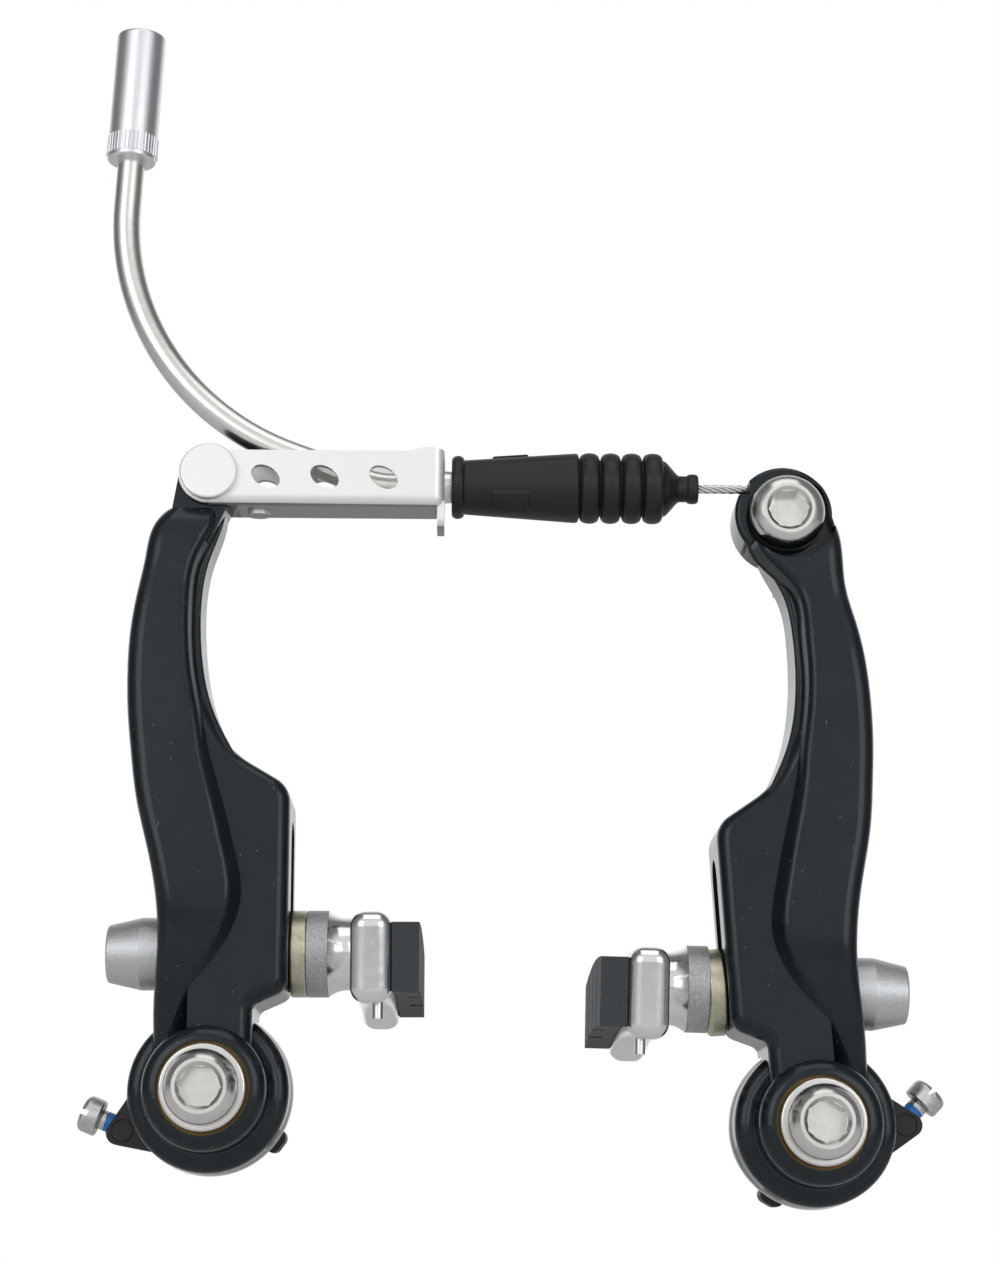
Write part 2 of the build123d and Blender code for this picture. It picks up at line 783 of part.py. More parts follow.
def cable_link():
    """Sheet-metal link: two cheeks, a floor and an end wall with the noodle's keyhole and a lip."""
    half_outside = link_gap / 2 + link_sheet
    top_end = link_above + link_flare
    top_edge = [
        (0, link_above),
        (link_flare_start, link_above),
        (link_flare_start + 3.4, top_end),
        (link_length, top_end - 0.4),
    ]
    low_edge = [top_edge[-1], (link_length, -link_below), (0, -link_below), top_edge[0]]
    cheek_line = Curve() + [FilletPolyline(*top_edge, radius=[4.0, 3.0]), Polyline(*low_edge)]
    cheek = make_face(cheek_line)
    cheek += Circle(eye_radius)
    block = extrude(Plane.XZ * cheek, half_outside, both=True)
    block = fillet(block.edges().filter_by(Axis.Z).sort_by(Axis.X)[-2:], link_bend)
    low_edges = block.edges().filter_by(Axis.X).group_by(Axis.Z)[0]
    block = fillet(low_edges, link_bend)
    room_length = link_length - link_sheet + 2 * eye_radius
    room_height = 4 * eye_radius
    room = Box(room_length, link_gap, room_height)
    room = fillet(room.edges().filter_by(Axis.Z).sort_by(Axis.X)[-2:], link_bend - link_sheet)
    room = Pos(
        link_length - link_sheet - room_length / 2, 0, -link_below + link_sheet + room_height / 2
    ) * room
    mouth = Pos(link_floor_start - room_length / 2, 0, 0) * Box(room_length, link_gap, room_height)
    lip_width = link_gap - 0.4
    lip = Pos(link_length - link_sheet / 2, 0, -link_below - link_lip_drop / 2 + 0.6) * Box(
        link_sheet, lip_width, link_lip_drop + 1.2
    )
    lip = fillet(lip.edges().filter_by(Axis.X).group_by(Axis.Z)[0], 1.5)
    hole = Pos(0, 0, wire_up) * rod_x(
        tip_nose_radius + 2 * running_fit, link_length - 1.5 * link_sheet, link_length + cut_past
    )
    slit = Pos(link_length, 0, wire_up + room_height / 2) * Box(
        4 * link_sheet, link_slit, room_height
    )
    shape = block - room - mouth + lip - hole - slit
    pip = Pos(stop_pip_along, 0, -link_below - stop_pip_height / 2) * Cylinder(
        stop_pip_radius, stop_pip_height + 0.2
    )
    shape += pip
    for index in range(link_window_count):
        shape -= link_window(index)
    shape -= rod_y(rivet_radius, -link_gap, link_gap)
    return Pos(0, cable_y, 0) * shape


def link_rivet():
    """Rivet through the link's cheeks and the arm's eye, headed at both ends."""
    outside = link_gap / 2 + link_sheet
    shank = rod_y(rivet_radius, -outside, outside)
    front_head = rod_y(rivet_head_radius, -outside - rivet_head_thick, -outside)
    front_head = fillet(front_head.edges().sort_by(Axis.Y)[0], 0.35)
    rear_head = rod_y(rivet_head_radius - 0.6, outside, outside + rivet_head_thick - 0.3)
    rear_head = fillet(rear_head.edges().sort_by(Axis.Y)[-1], 0.5)
    return Pos(0, cable_y, 0) * (shank + front_head + rear_head)


def noodle_path(start, stem):
    """Middle line of the noodle from its start at the tip, round the bend and up the stem."""
    bend_at = link_length - noodle_nose
    run = Line((start, wire_up), (bend_at, wire_up))
    low_bend = JernArc(start=run @ 1, tangent=run % 1, radius=nose_bend, arc_size=-nose_turn)
    slope = Line(low_bend @ 1, (low_bend @ 1) + (low_bend % 1) * noodle_slope)
    bend = JernArc(start=slope @ 1, tangent=slope % 1, radius=noodle_bend, arc_size=-noodle_turn)
    rise = Line(bend @ 1, (bend @ 1) + (bend % 1) * stem)
    return Plane.XZ.offset(-cable_y) * (Curve() + [run, low_bend, slope, bend, rise])


def along_noodle(start, stem, radius):
    """Round bar along the noodle's middle line."""
    path = noodle_path(start, stem)
    section = Plane(origin=(start, cable_y, wire_up), z_dir=(-1, 0, 0)) * Circle(radius)
    return sweep(section, path=path)


def ferrule_frame():
    """Place of the ferrule: origin at its lower end, Z along the noodle's stem."""
    path = noodle_path(link_length, noodle_stem)
    up = path % 1
    return Plane(origin=path @ 1, z_dir=(up.X, up.Y, up.Z))


def noodle_tube():
    """Bent steel guide tube, hollow for the wire."""
    start = link_length + tip_nose_length - 1.0
    stem = noodle_stem + tube_in_ferrule
    return along_noodle(start, stem, noodle_radius) - along_noodle(
        start + cut_past, stem + cut_past, noodle_bore
    )


def noodle_ferrule():
    """Turned ferrule: the tube enters below, the cable housing seats in its open top."""
    body = Pos(0, 0, ferrule_length / 2) * Cylinder(ferrule_radius, ferrule_length)
    body = fillet(body.edges().filter_by(GeomType.CIRCLE), 0.5)
    band = Pos(0, 0, ferrule_band_from + ferrule_band_length / 2) * Cylinder(
        ferrule_band_radius, ferrule_band_length
    )
    tooth = Pos(ferrule_band_radius, 0, ferrule_band_from + ferrule_band_length / 2) * Rot(0, 0, 45) * Box(
        band_tooth_depth, band_tooth_depth, ferrule_band_length + cut_past
    )
    band -= PolarLocations(0, band_tooth_count) * tooth
    body += band
    body -= Pos(0, 0, ferrule_length) * Cylinder(ferrule_socket_radius, 2 * ferrule_socket_depth)
    body -= Pos(0, 0, tube_in_ferrule / 2) * Cylinder(noodle_radius, tube_in_ferrule)
    body -= Pos(0, 0, ferrule_length / 2) * Cylinder(noodle_bore, ferrule_length)
    return ferrule_frame() * body


def noodle_tip():
    """Turned nose on the tube: its shoulder bears on the link's end wall from inside."""
    wall = link_length - link_sheet
    corners = [
        (wall - tip_shoulder_length, noodle_radius),
        (wall - tip_shoulder_length, tip_shoulder_radius - 0.7),
        (wall, tip_shoulder_radius),
        (wall, tip_nose_radius),
        (link_length + tip_nose_length, tip_nose_radius - 0.5),
        (link_length + tip_nose_length, noodle_bore),
        (link_length + tip_nose_length - 1.0, noodle_bore),
        (link_length + tip_nose_length - 1.0, noodle_radius),
    ]
    tip = revolve(make_face(Polyline(*corners, close=True)), axis=Axis.X)
    return Pos(0, cable_y, wire_up) * tip


def boot_profile():
    """Outer line of the boot from its bead to its tail, as (place, radius) corners."""
    corners = [(0, boot_bead_radius), (boot_bead_length, boot_bead_radius)]
    corners.append((boot_bead_length, boot_start_radius))
    corners.append((boot_bead_length + boot_body_length, boot_end_radius))
    place = boot_bead_length + boot_body_length
    for index in range(boot_rib_count):
        corners.append((place + 0.35 * boot_rib_pitch, boot_groove_radius))
        corners.append((place + 0.65 * boot_rib_pitch, boot_rib_radius))
        corners.append((place + 1.0 * boot_rib_pitch, boot_rib_radius))
        place += boot_rib_pitch
    tail_start = boot_length - boot_tail_bead_length
    corners.append((tail_start - boot_neck_length, boot_neck_radius))
    corners.append((tail_start, boot_neck_radius))
    corners.append((tail_start, boot_tail_bead_radius))
    corners.append((boot_length, boot_tail_bead_radius))
    return corners


def boot():
    """Rubber bellows boot over the noodle's nose and the bare wire."""
    outside = [(0, 0)] + boot_profile() + [(boot_length, 0)]
    rounds = [0.9, 0.4, 0.2, 0.8]
    rounds += [0.5, 0.5, 0.5] * boot_rib_count
    rounds += [0.6, 0.1, 0.15, 0.7]
    skin = FilletPolyline(*outside, radius=rounds)
    axis_line = Line(outside[-1], outside[0])
    body = revolve(make_face(Curve() + [skin, axis_line]), axis=Axis.X)
    bore_end = boot_bead_length + boot_body_length + boot_rib_count * boot_rib_pitch
    body -= rod_x(boot_groove_radius - boot_wall, -cut_past, bore_end)
    body -= rod_x(boot_wire_hole, 0, boot_length + cut_past)
    grip_place = boot_bead_length + 0.32 * boot_body_length
    grip_top = (boot_start_radius + boot_end_radius) / 2 + boot_grip_proud
    for turn in (-35.0, 145.0):
        grip = Box(boot_grip_length, boot_grip_width, grip_top)
        grip = fillet(grip.edges().filter_by(Axis.Z), 1.2)
        grip = fillet(grip.faces().sort_by(Axis.Z)[-1].edges(), 0.3)
        grip = Pos(grip_place, 0, grip_top / 2) * grip
        grip -= rod_x(boot_groove_radius - boot_wall + 0.3, 0, boot_length)
        body += Rot(90 + turn, 0, 0) * grip
    return Pos(boot_start, cable_y, wire_up) * body


def wire_in_noodle():
    """Inner wire from the ferrule, through the noodle, to the middle of the boot."""
    stem = noodle_stem + ferrule_length - ferrule_socket_depth - running_fit
    return along_noodle(wire_split, stem, wire_radius)


def brake_wire():
    """Bare wire from the middle of the boot to the anchor."""
    end = clamp_along - 2 * running_fit
    return Pos(0, cable_y, wire_up) * rod_x(wire_radius, wire_split, end)


def wire_tail():
    """Clamped end of the wire: over the anchor bolt, round behind the head and down to its cut end."""
    turn = anchor_along + tail_turn_out
    end_along, end_up = to_cable(arm_place("right", tail_end_in, anchor_up - tail_drop))
    points = [
        (clamp_along, cable_y, wire_up),
        (turn, cable_y, wire_up),
        (turn, tail_rear, wire_up),
        (end_along, tail_rear, end_up),
    ]
    path = FilletPolyline(*points, radius=tail_bend)
    section = Plane(origin=points[0], z_dir=(1, 0, 0)) * Circle(wire_radius)
    return sweep(section, path=path)


def anchor_washer():
    """Washer that presses the wire on its seat."""
    front = clamp_front - anchor_washer_thick
    ring = rod_y(anchor_washer_radius, front, clamp_front)
    ring -= rod_y(bolt_shank_radius, front - cut_past, clamp_front + cut_past)
    return Pos(anchor_in, 0, anchor_up) * ring


def anchor_bolt():
    """Flanged anchor bolt, screwed into the arm's head."""
    seat = clamp_front - anchor_washer_thick
    bolt = socket_bolt(anchor_head_radius, anchor_head_height, seat, anchor_shank_length)
    return Pos(anchor_in, 0, anchor_up) * bolt


def save(name, shape):
    """Write one piece to its own file."""
    export_step(shape, f"parts/{name}.step")


os.makedirs("parts", exist_ok=True)
arms = {"left": left_arm(), "right": right_arm()}
pivot_bolt = socket_bolt(pivot_head_radius, pivot_head_height, washer_front, pivot_shank_length)
for side in ("left", "right"):
    save(f"{side}_arm", on_arm(side, arms[side]))
    save(f"{side}_pivot_bush", on_arm(side, pivot_bush()))
    save(f"{side}_pivot_sleeve", on_boss(side, pivot_sleeve()))
    save(f"{side}_pivot_washer", on_boss(side, pivot_washer()))
    save(f"{side}_pivot_bolt", on_boss(side, pivot_bolt))
    save(f"{side}_spring_holder", on_boss(side, spring_holder()))
    save(f"{side}_spring_plate", on_boss(side, spring_plate()))
    coil, rear_leg, front_leg = return_spring()
    save(f"{side}_return_spring", on_boss(side, coil + rear_leg + front_leg))
    save(f"{side}_tension_screw", on_boss(side, tension_screw()))
    save(f"{side}_inner_ball_washer", at_post(side, ball_washer(), tilted=False))
    save(f"{side}_outer_ball_washer", at_post(side, outboard(ball_washer()), tilted=False))
    save(f"{side}_inner_cup_washer", at_post(side, cup_washer()))
    save(f"{side}_outer_cup_washer", at_post(side, outboard(cup_washer())))
    save(f"{side}_pad_nut", at_post(side, pad_nut()))
    save(f"{side}_pad_stud", at_post(side, pad_stud()))
    save(f"{side}_pad_holder", at_post(side, pad_holder()))
    save(f"{side}_pad_insert", at_post(side, pad_insert()))
    save(f"{side}_pad_pin", at_post(side, pin_rod()))
save("cable_link", on_cable(cable_link()))
save("link_rivet", on_cable(link_rivet()))
save("noodle_tube", on_cable(noodle_tube()))
save("noodle_ferrule", on_cable(noodle_ferrule()))
save("noodle_tip", on_cable(noodle_tip()))
save("boot", on_cable(boot()))
save("wire_in_noodle", on_cable(wire_in_noodle()))
save("brake_wire", on_cable(brake_wire()))
save("wire_tail", on_cable(wire_tail()))
save("anchor_washer", on_arm("right", anchor_washer()))
save("anchor_bolt", on_arm("right", anchor_bolt()))
print("Bend radii: noodle", nose_bend, noodle_bend, "wire tail", tail_bend)
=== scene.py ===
import json
import math

import bmesh
import bpy
from mathutils import Matrix, Vector


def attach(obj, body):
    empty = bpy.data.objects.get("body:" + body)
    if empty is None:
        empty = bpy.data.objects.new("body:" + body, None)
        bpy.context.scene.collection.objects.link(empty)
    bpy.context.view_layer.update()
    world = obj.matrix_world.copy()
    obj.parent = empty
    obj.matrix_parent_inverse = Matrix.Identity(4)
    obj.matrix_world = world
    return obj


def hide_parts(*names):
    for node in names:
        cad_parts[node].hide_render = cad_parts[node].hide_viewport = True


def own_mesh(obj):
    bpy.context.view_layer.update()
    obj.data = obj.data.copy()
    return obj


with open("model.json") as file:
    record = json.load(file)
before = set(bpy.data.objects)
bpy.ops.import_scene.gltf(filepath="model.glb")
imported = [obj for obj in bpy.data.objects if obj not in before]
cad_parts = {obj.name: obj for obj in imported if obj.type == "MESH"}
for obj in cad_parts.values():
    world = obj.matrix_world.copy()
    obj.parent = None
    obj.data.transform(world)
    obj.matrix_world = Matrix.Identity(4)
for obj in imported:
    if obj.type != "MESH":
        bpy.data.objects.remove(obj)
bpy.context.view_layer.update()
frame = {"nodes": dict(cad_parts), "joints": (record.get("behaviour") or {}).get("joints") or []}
nodes = frame["nodes"]
joint_at = {joint["name"]: joint for joint in frame["joints"]}


# Pivots: a steel sleeve sits on each frame boss and the arm's brass bush turns on it. A flat
# washer and a domed socket bolt hold the arm on. The steel is zinc-plated bright and lightly
# rubbed; the bush is turned brass, its colour darkened as painted shade for its narrow gap under
# the washer.
def coated(name, colour, rough, metal=0.0, grain=900.0, stretch=(1, 1, 1), vary=0.12, rub=0.12,
           bump=0.0, coat=0.0, coat_rough=0.08, specular=0.5):
    """Make a finish whose colour drifts by the share vary and its roughness by the share rub.

    grain counts the noise's cells in a metre; stretch multiplies that count along each axis.
    """
    noise_low = 0.25
    noise_high = 0.75
    noise_detail = 5.0
    relief_depth = 0.0002
    finish = bpy.data.materials.new(name)
    finish.use_nodes = True
    tree = finish.node_tree
    shader = tree.nodes["Principled BSDF"]
    where = tree.nodes.new("ShaderNodeTexCoord")
    spread = tree.nodes.new("ShaderNodeMapping")
    spread.inputs["Scale"].default_value = stretch
    tree.links.new(where.outputs["Object"], spread.inputs["Vector"])
    speck = tree.nodes.new("ShaderNodeTexNoise")
    speck.inputs["Scale"].default_value = grain
    speck.inputs["Detail"].default_value = noise_detail
    tree.links.new(spread.outputs["Vector"], speck.inputs["Vector"])
    tint = tree.nodes.new("ShaderNodeValToRGB")
    stops = tint.color_ramp.elements
    stops[0].position = noise_low
    stops[1].position = noise_high
    stops[0].color = [part * (1 - vary) for part in colour] + [1]
    stops[1].color = [part * (1 + vary) for part in colour] + [1]
    tree.links.new(speck.outputs["Fac"], tint.inputs["Fac"])
    tree.links.new(tint.outputs["Color"], shader.inputs["Base Color"])
    gloss = tree.nodes.new("ShaderNodeMapRange")
    gloss.inputs["From Min"].default_value = noise_low
    gloss.inputs["From Max"].default_value = noise_high
    gloss.inputs["To Min"].default_value = rough * (1 - rub)
    gloss.inputs["To Max"].default_value = rough * (1 + rub)
    tree.links.new(speck.outputs["Fac"], gloss.inputs["Value"])
    tree.links.new(gloss.outputs["Result"], shader.inputs["Roughness"])
    shader.inputs["Metallic"].default_value = metal
    shader.inputs["Specular IOR Level"].default_value = specular
    shader.inputs["Coat Weight"].default_value = coat
    shader.inputs["Coat Roughness"].default_value = coat_rough
    if bump > 0:
        relief = tree.nodes.new("ShaderNodeBump")
        relief.inputs["Strength"].default_value = bump
        relief.inputs["Distance"].default_value = relief_depth
        tree.links.new(speck.outputs["Fac"], relief.inputs["Height"])
        tree.links.new(relief.outputs["Normal"], shader.inputs["Normal"])
    return finish


def dress(finish, *names):
    """Give CAD pieces their finish."""
    for name in names:
        slots = nodes[name].data.materials
        slots.clear()
        slots.append(finish)


def both(name):
    """Names of a piece on the left and on the right."""
    return f"left_{name}", f"right_{name}"


bright_zinc = coated("bright_zinc", (0.70, 0.69, 0.67), 0.23, metal=1.0, grain=500, vary=0.04, rub=0.15)
# The brass colour is darkened: painted shade for the gap under the washer.
painted_shade_brass = coated("painted_shade_brass", (0.16, 0.10, 0.035), 0.38, metal=0.8, grain=3000, vary=0.35)
dress(bright_zinc, *both("pivot_sleeve"), *both("pivot_washer"), *both("pivot_bolt"))
dress(painted_shade_brass, *both("pivot_bush"))

# Spring housings: behind each hub lies a black moulded disc with a lug. A thin bright steel plate
# covers its front, and a drawn-steel torsion coil sits in the hub's well. The slotted screw in
# the lug sets the spring; its thread carries a band of dried blue thread lock.
housing_black = coated("housing_black", (0.010, 0.010, 0.011), 0.5, grain=1800, vary=0.2, bump=0.15,
                       specular=0.4)
plate_steel = coated("plate_steel", (0.75, 0.75, 0.74), 0.2, metal=1.0, grain=1500, vary=0.05)
coil_steel = coated("coil_steel", (0.3, 0.3, 0.31), 0.35, metal=1.0, grain=2500)
dull_zinc = coated("dull_zinc", (0.56, 0.565, 0.57), 0.36, metal=1.0, grain=1400, vary=0.15, rub=0.25,
                   bump=0.05)
lock_blue = coated("lock_blue", (0.006, 0.16, 0.55), 0.4, grain=5000, vary=0.25, bump=0.2)
dress(housing_black, *both("spring_holder"))
dress(plate_steel, *both("spring_plate"))
dress(coil_steel, *both("return_spring"))
dress(dull_zinc, *both("tension_screw"))


def skin_rings(shape, rings):
    """Join rings of corners one after another and close both ends with a flat cap."""
    for near, far in zip(rings, rings[1:]):
        for corner in range(len(near)):
            after = (corner + 1) % len(near)
            shape.faces.new((near[corner], far[corner], far[after], near[after]))
    shape.faces.new(rings[0])
    shape.faces.new(list(reversed(rings[-1])))


def mesh_piece(name, shape):
    """Make an object of a skinned shape, its sides smooth and its caps flat."""
    bmesh.ops.recalc_face_normals(shape, faces=shape.faces)
    mesh = bpy.data.meshes.new(name)
    shape.to_mesh(mesh)
    shape.free()
    for face in mesh.polygons:
        face.use_smooth = len(face.vertices) == 4
    piece = bpy.data.objects.new(name, mesh)
    bpy.context.scene.collection.objects.link(piece)
    return piece


def turned_piece(name, profile, origin, axis, around=48):
    """Turn a profile of (along, radius) points about an axis that starts at origin."""
    axis = Vector(axis).normalized()
    side_a = axis.orthogonal().normalized()
    side_b = axis.cross(side_a)
    shape = bmesh.new()
    rings = []
    for along, radius in profile:
        ring = []
        for step in range(around):
            angle = 2 * math.pi * step / around
            out = side_a * math.cos(angle) + side_b * math.sin(angle)
            ring.append(shape.verts.new(Vector(origin) + axis * along + out * radius))
        rings.append(ring)
    skin_rings(shape, rings)
    return mesh_piece(name, shape)


thread_pitch = 0.0005
thread_start = -0.0022
thread_crest = 0.0017
thread_root = 0.00154
thread_points = 17
lock_end = 12
thread_line = []
for step in range(thread_points):
    radius = thread_root if step % 2 else thread_crest
    thread_line.append((thread_start + step * thread_pitch / 2, radius))
for side in ("left", "right"):
    screw = joint_at[f"{side}_tension_turn"]
    thread = turned_piece(f"{side}_screw_thread", thread_line[lock_end:], screw["pos_m"], screw["axis"])
    thread.data.materials.append(dull_zinc)
    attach(thread, f"{side}_tension_screw")
    band = turned_piece(f"{side}_thread_lock", thread_line[:lock_end + 1], screw["pos_m"], screw["axis"])
    band.data.materials.append(lock_blue)
    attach(band, f"{side}_tension_screw")

# Arms: forged aluminium in glossy black paint, slightly wavy as sprayed paint is, with a few pale
# specks and fine upright scratches. The black is lifted to a bluish slate, a painted sheen of cool
# reflections. A thin rim closes the outer side of the right arm's round head, whose solid is
# notched where the wire turns to the rear.
# Black paint with a painted cool sheen: the base colour is lifted to a bluish slate.
arm_black = coated("arm_black", (0.0065, 0.0125, 0.0165), 0.2, grain=260, vary=0.2, rub=0.15, bump=0.012,
                   coat=0.2, coat_rough=0.05, specular=0.24)


def flecked(finish, cells, size, colour):
    """Add sparse marks: cells is their count in a metre along each axis, size their share of a cell."""
    full_share = 0.6
    tree = finish.node_tree
    shader = tree.nodes["Principled BSDF"]
    where = tree.nodes.new("ShaderNodeTexCoord")
    spread = tree.nodes.new("ShaderNodeMapping")
    spread.inputs["Scale"].default_value = cells
    tree.links.new(where.outputs["Object"], spread.inputs["Vector"])
    spots = tree.nodes.new("ShaderNodeTexVoronoi")
    spots.inputs["Scale"].default_value = 1.0
    tree.links.new(spread.outputs["Vector"], spots.inputs["Vector"])
    mark = tree.nodes.new("ShaderNodeMapRange")
    mark.inputs["From Min"].default_value = size
    mark.inputs["From Max"].default_value = size * full_share
    tree.links.new(spots.outputs["Distance"], mark.inputs["Value"])
    blend = tree.nodes.new("ShaderNodeMix")
    blend.data_type = "RGBA"
    tree.links.new(mark.outputs["Result"], blend.inputs["Factor"])
    tree.links.new(shader.inputs["Base Color"].links[0].from_socket, blend.inputs["A"])
    blend.inputs["B"].default_value = (*colour, 1)
    tree.links.new(blend.outputs["Result"], shader.inputs["Base Color"])


speck_cells = (420, 420, 420)
scratch_cells = (330, 330, 60)
flecked(arm_black, speck_cells, size=0.06, colour=(0.12, 0.12, 0.12))
flecked(arm_black, scratch_cells, size=0.03, colour=(0.16, 0.16, 0.16))
dress(arm_black, *both("arm"))


def middle_of(name):
    """Middle of a CAD piece's box."""
    corners = [nodes[name].matrix_world @ Vector(corner) for corner in nodes[name].bound_box]
    return sum(corners, Vector()) / len(corners)


rim_off_bolt = Vector((-0.0005, 0, -0.00006))
rim_middle = middle_of("anchor_bolt") + rim_off_bolt
rim_from = -12
rim_to = 56
rim_step = 2
rim_radius = 0.0082
rim_wall = 0.0006
rim_edge = 0.0009
edge_steps = 6
rim_front = -0.0139
rim_rear = -0.0054
rim_foot_rear = -0.0070
flank_lean = 0.35
seat_radius = 0.0076
seat_off = 0.001
rim_shape = bmesh.new()
rim_rings = []
for degrees in range(rim_from, rim_to + rim_step, rim_step):
    out_x = math.cos(math.radians(degrees))
    out_z = math.sin(math.radians(degrees))
    # Round above the bolt's level; below it the rim runs straight down the arm's leaning flank.
    if degrees > 0:
        outer = rim_radius
        rear = rim_rear
    else:
        outer = rim_radius / (out_x + flank_lean * out_z)
        rear = rim_foot_rear
    # The washer's round seat lies off the rim's middle, outwards and down by seat_off.
    shift = seat_off * (out_x - out_z)
    seat_wall = shift + math.sqrt(shift ** 2 - 2 * seat_off ** 2 + seat_radius ** 2)
    inner = min(seat_wall, outer - rim_wall)
    edge = min(rim_edge, outer - inner)
    rim_profile = [(inner, rear), (inner, rim_front)]
    for step in range(edge_steps + 1):
        angle = math.pi / 2 * step / edge_steps
        reach = outer - edge + edge * math.sin(angle)
        rim_profile.append((reach, rim_front + edge - edge * math.cos(angle)))
    rim_profile.append((outer, rear))
    ring = []
    for reach, depth in rim_profile:
        spot = (rim_middle.x + out_x * reach, depth, rim_middle.z + out_z * reach)
        ring.append(rim_shape.verts.new(spot))
    rim_rings.append(ring)
skin_rings(rim_shape, rim_rings)
head_rim = mesh_piece("head_rim", rim_shape)
head_rim.data.materials.append(arm_black)
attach(head_rim, "right_arm")

# Ball seats: a yellow-zinc ball washer lies on each side of the arm's slotted web, with a sintered
# grey cup washer on it, so that the pad can be set square to the wheel. The long sleeve nut of
# blasted aluminium clamps the stack.
yellow_zinc = coated("yellow_zinc", (0.50, 0.49, 0.37), 0.36, metal=1.0, grain=1600, vary=0.18, rub=0.3,
                     bump=0.08)
sintered_grey = coated("sintered_grey", (0.43, 0.435, 0.44), 0.5, metal=0.8, grain=2800, vary=0.3,
                       bump=0.35)
blasted_aluminium = coated("blasted_aluminium", (0.56, 0.575, 0.59), 0.42, metal=0.95, grain=3200,
                           vary=0.14, bump=0.3)
dress(yellow_zinc, *both("inner_ball_washer"), *both("outer_ball_washer"))
dress(sintered_grey, *both("inner_cup_washer"), *both("outer_cup_washer"))
dress(blasted_aluminium, *both("pad_nut"))

# Pads: a cast aluminium holder, tumbled and polished, takes a block of black rubber that a small
# steel pin keeps in. The threaded post is zinc-plated steel, riveted into the holder.
polished_aluminium = coated("polished_aluminium", (0.78, 0.785, 0.80), 0.17, metal=1.0, grain=900,
                            vary=0.04, rub=0.25, bump=0.02)
pad_rubber = coated("pad_rubber", (0.036, 0.041, 0.045), 0.6, grain=2600, vary=0.25, bump=0.3,
                    specular=0.35)
dress(polished_aluminium, *both("pad_holder"))
dress(pad_rubber, *both("pad_insert"))
dress(bright_zinc, *both("pad_stud"), *both("pad_pin"))

# Cable link: stainless sheet folded to a channel, satin on its sides; its faces that look down take
# a darker copy of the steel as painted shade. It hangs on a flat-headed rivet through the left arm's eye.
satin_stainless = coated("satin_stainless", (0.86, 0.855, 0.845), 0.4, metal=0.55, grain=2200, vary=0.025,
                         rub=0.06)
underside_shade_stainless = coated("underside_shade_stainless", (0.33, 0.33, 0.325), 0.4, metal=0.9, grain=700,
                        stretch=(1, 6, 6), vary=0.2)
dress(satin_stainless, "cable_link", "link_rivet")
# Faces that look down take the darker steel: painted shade on the link's underside.
facing_down = -0.8
link_mesh = nodes["cable_link"].data
link_mesh.materials.append(underside_shade_stainless)
for face in link_mesh.polygons:
    if face.normal.z < facing_down:
        face.material_index = 1

# Noodle: the wire's guide, a bent stainless tube whose turned nose sits in the link's keyhole. The
# aluminium ferrule on its upper end is knurled at its foot and brushed along its length, and
# takes the cable's housing.
tube_stainless = coated("tube_stainless", (0.74, 0.73, 0.71), 0.25, metal=1.0, grain=900, vary=0.04)
ferrule_aluminium = coated("ferrule_aluminium", (0.80, 0.815, 0.84), 0.3, metal=1.0, grain=300,
                           stretch=(9, 9, 1), vary=0.04, rub=0.1)
dress(tube_stainless, "noodle_tube", "noodle_tip")
dress(ferrule_aluminium, "noodle_ferrule")

# Boot: a soft moulded sleeve of black rubber that keeps dirt off the wire, pushed over the noodle's
# nose. It has a bead at each end, four ribs, a parting line and two small lugs. The real one shortens
# as the arms close; this one keeps its length and rides on the noodle.
boot_rubber = coated("boot_rubber", (0.0060, 0.0085, 0.0110), 0.45, grain=1500, vary=0.2, bump=0.08,
                     specular=0.4)
boot_gap = 0.0012
wire_line = joint_at["noodle_swivel"]
wire_way = Vector(wire_line["axis"]).normalized()
boot_start = Vector(wire_line["pos_m"]) + wire_way * boot_gap

mouth_radius = 0.0030
sleeve_radius = 0.0046
bead_half = 0.00105
bead_rise = 0.00075
bead_steps = 12
boot_line = [(0.0, mouth_radius), (0.0, sleeve_radius)]
for step in range(bead_steps + 1):
    angle = math.pi * (step / bead_steps)
    boot_line.append((bead_half - bead_half * math.cos(angle), sleeve_radius + bead_rise * math.sin(angle)))

sleeve_start = 0.0022
sleeve_length = 0.0188
sleeve_flare = 0.0013
sleeve_steps = 94
for step in range(1, sleeve_steps):
    share = step / sleeve_steps
    boot_line.append((sleeve_start + share * sleeve_length, sleeve_radius + share * sleeve_flare))
boot_line += [(0.0212, 0.0058), (0.02135, 0.0055)]

rib_count = 4
rib_start = 0.02145
rib_pitch = 0.00356
rib_half_share = 0.46
rib_root = 0.0048
rib_rise = 0.00118
rib_roundness = 0.7
rib_steps = 16
for rib in range(rib_count):
    foot = rib_start + rib * rib_pitch
    for step in range(rib_steps + 1):
        angle = math.pi * step / rib_steps
        swell = math.sin(angle) ** rib_roundness
        along = foot + rib_pitch * (0.5 - rib_half_share * math.cos(angle))
        boot_line.append((along, rib_root + rib_rise * swell))

tail_radius = 0.0022
tail_bead_middle = 0.04065
tail_bead_half = 0.00095
tail_bead_rise = 0.00034
tail_bead_steps = 8
boot_line += [(0.0361, 0.0046), (0.0366, 0.0041), (0.0374, 0.0032), (0.0380, 0.0025), (0.0384, 0.00222)]
boot_line.append((0.0396, tail_radius))
for step in range(tail_bead_steps + 1):
    angle = math.pi * step / tail_bead_steps
    along = tail_bead_middle - tail_bead_half * math.cos(angle)
    boot_line.append((along, tail_radius + tail_bead_rise * math.sin(angle)))
boot_line.append((0.0417, 0.0010))
boot_shape = turned_piece("rubber_boot", boot_line, boot_start, wire_way, around=160)

